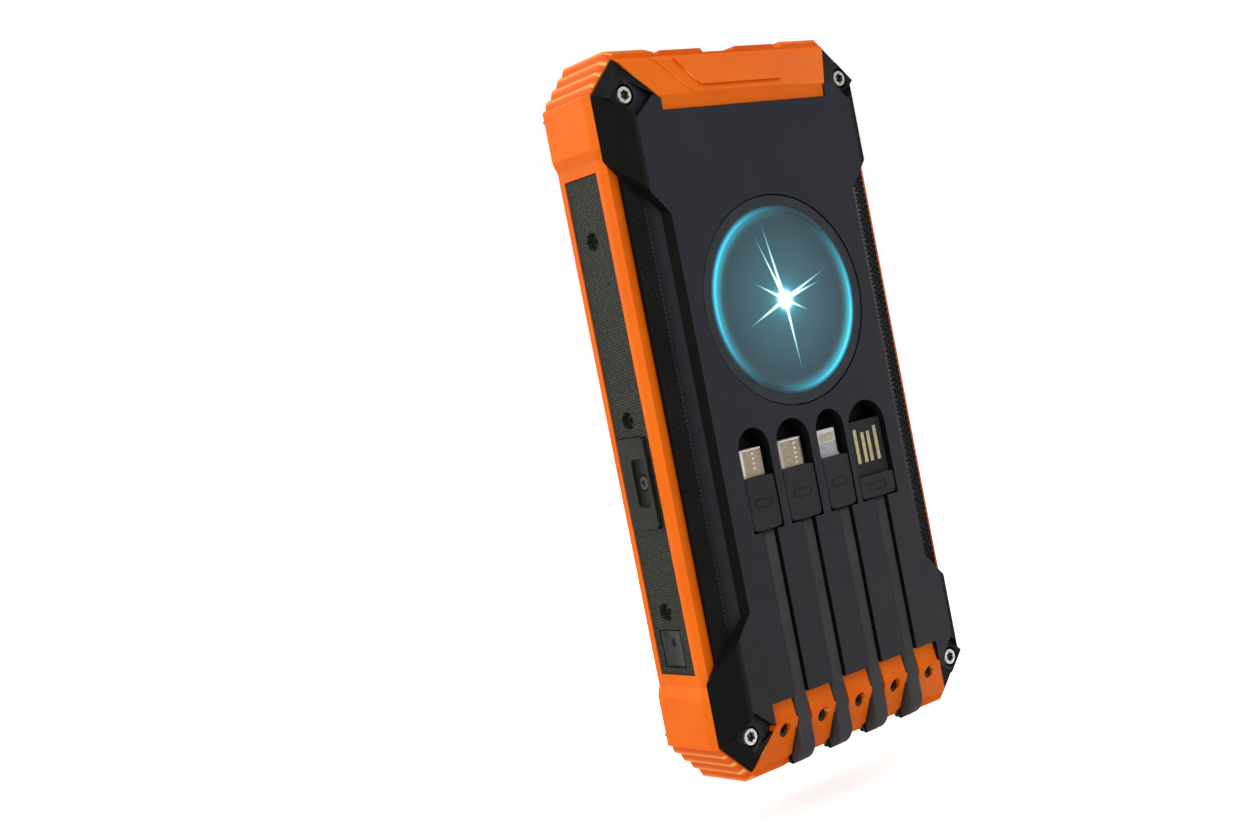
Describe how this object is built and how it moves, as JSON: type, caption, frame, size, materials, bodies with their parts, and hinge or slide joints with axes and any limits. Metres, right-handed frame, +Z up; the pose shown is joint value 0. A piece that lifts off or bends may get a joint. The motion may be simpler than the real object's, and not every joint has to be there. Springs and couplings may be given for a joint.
{
  "type": "solar phone charger",
  "caption": "Rugged solar power bank with orange bumper, wireless charging pad, stowed charging cables, torch end and covered ports.",
  "frame": {"origin": "centre of the base: the lower, charging-port end stands on z = 0", "axes": "+Z up along the length to the torch end, back face with cables and wireless pad towards -Y, solar panel towards +Y, +X to the right when looking along +Y"},
  "size_m": [0.086, 0.029, 0.174],
  "materials": {
    "back_shell": "fine satin, bluish charcoal",
    "front_shell": "fine satin black",
    "bumper": "smooth satin orange, slightly soft",
    "seal": "matt",
    "panel_substrate": "laminate board",
    "cell": "dark slate silicon under clear resin",
    "glaze": "clear resin face over the cells",
    "pad": "smoked translucent plastic, lit from behind",
    "ring": "translucent light guide, lit cyan",
    "copper": "enamelled copper",
    "ferrite": "matt ferrite sheet",
    "pouch": "foil pouch",
    "foam": "closed-cell foam",
    "board": "green solder mask",
    "port_metal": "nickel-plated shell",
    "led_green": "lit green",
    "smoked": "smoked window",
    "led_white": "white LED package",
    "reflector": "metallised reflector",
    "lens": "clear lens",
    "strip": "finely grained, dark olive grey",
    "strip_plate": "finely grained, dark olive grey",
    "screw_dark": "blackened steel",
    "screw_bright": "nickel plated",
    "button": "semi-gloss black",
    "switch": "stamped steel",
    "flap": "matt silicone rubber",
    "boot": "matt",
    "wire": "red insulation",
    "cable": "matt black jacket",
    "overmould": "satin black",
    "plug_metal": "nickel-plated plug",
    "plug_white": "white and silver blade",
    "contact": "gold flashed"
  },
  "bodies": {
    "case": {"back_cover": "back_shell", "front_cover": "front_shell", "bumper_frame": "bumper", "back_gasket": "seal", "front_gasket": "seal", "panel_board": "panel_substrate", "solar_cells": "cell", "panel_glaze": "glaze", "wireless_pad": "pad", "light_ring": "ring", "charging_coil": "copper", "ferrite_sheet": "ferrite", "battery_cell_back": "pouch", "battery_cell_front": "pouch", "battery_foam": "foam", "main_board": "board", "usb_a_ports": "port_metal", "usb_c_port": "port_metal", "led_board": "board", "indicator_leds": "led_green", "window_lens": "smoked", "torch_board": "board", "torch_leds": "led_white", "torch_reflectors": "reflector", "torch_lenses": "lens", "side_strip_left": "strip", "side_strip_right": "strip", "strap_plate_left": "strip_plate", "strap_plate_right": "strip_plate", "strip_screws": "screw_dark", "corner_screws": "screw_bright", "bumper_screws": "screw_dark", "button_boards": "board", "tact_switches": "switch", "cable_boots": "boot", "cable_leads": "wire"},
    "power_key": {"power_button": "button"},
    "torch_key": {"torch_button": "button"},
    "port_flap": {"port_cover": "flap"},
    "micro_usb_lead": {"micro_usb_cable": "cable", "micro_usb_head": "overmould", "micro_usb_plug": "plug_metal"},
    "usb_c_lead": {"usb_c_cable": "cable", "usb_c_head": "overmould", "usb_c_plug": "plug_metal"},
    "phone_lead": {"phone_cable": "cable", "phone_head": "overmould", "phone_plug": "plug_white", "phone_contacts": "contact"},
    "usb_a_lead": {"usb_a_cable": "cable", "usb_a_head": "overmould", "usb_a_plug": "overmould", "usb_a_contacts": "contact"}
  },
  "joints": [
    {"name": "power_button_press", "type": "slide", "parent": "case", "child": "power_key", "axis": [1, 0, 0], "range_m": [0, 0.0006], "stiffness_N_per_m": 400},
    {"name": "torch_button_press", "type": "slide", "parent": "case", "child": "torch_key", "axis": [-1, 0, 0], "range_m": [0, 0.0006], "stiffness_N_per_m": 400},
    {"name": "port_cover_swing", "type": "hinge", "parent": "case", "child": "port_flap", "pos_m": [0, -0.0016, 0.00275], "axis": [-1, 0, 0], "range_deg": [0, 90]},
    {"name": "micro_usb_cable_swing", "type": "hinge", "parent": "case", "child": "micro_usb_lead", "pos_m": [-0.01905, -0.0088, 0.0059], "axis": [1, 0, 0], "range_deg": [0, 90]},
    {"name": "usb_c_cable_swing", "type": "hinge", "parent": "case", "child": "usb_c_lead", "pos_m": [-0.00635, -0.0088, 0.0059], "axis": [1, 0, 0], "range_deg": [0, 90]},
    {"name": "phone_cable_swing", "type": "hinge", "parent": "case", "child": "phone_lead", "pos_m": [0.00635, -0.0088, 0.0059], "axis": [1, 0, 0], "range_deg": [0, 90]},
    {"name": "usb_a_cable_swing", "type": "hinge", "parent": "case", "child": "usb_a_lead", "pos_m": [0.01905, -0.0088, 0.0059], "axis": [1, 0, 0], "range_deg": [0, 90]}
  ]
}
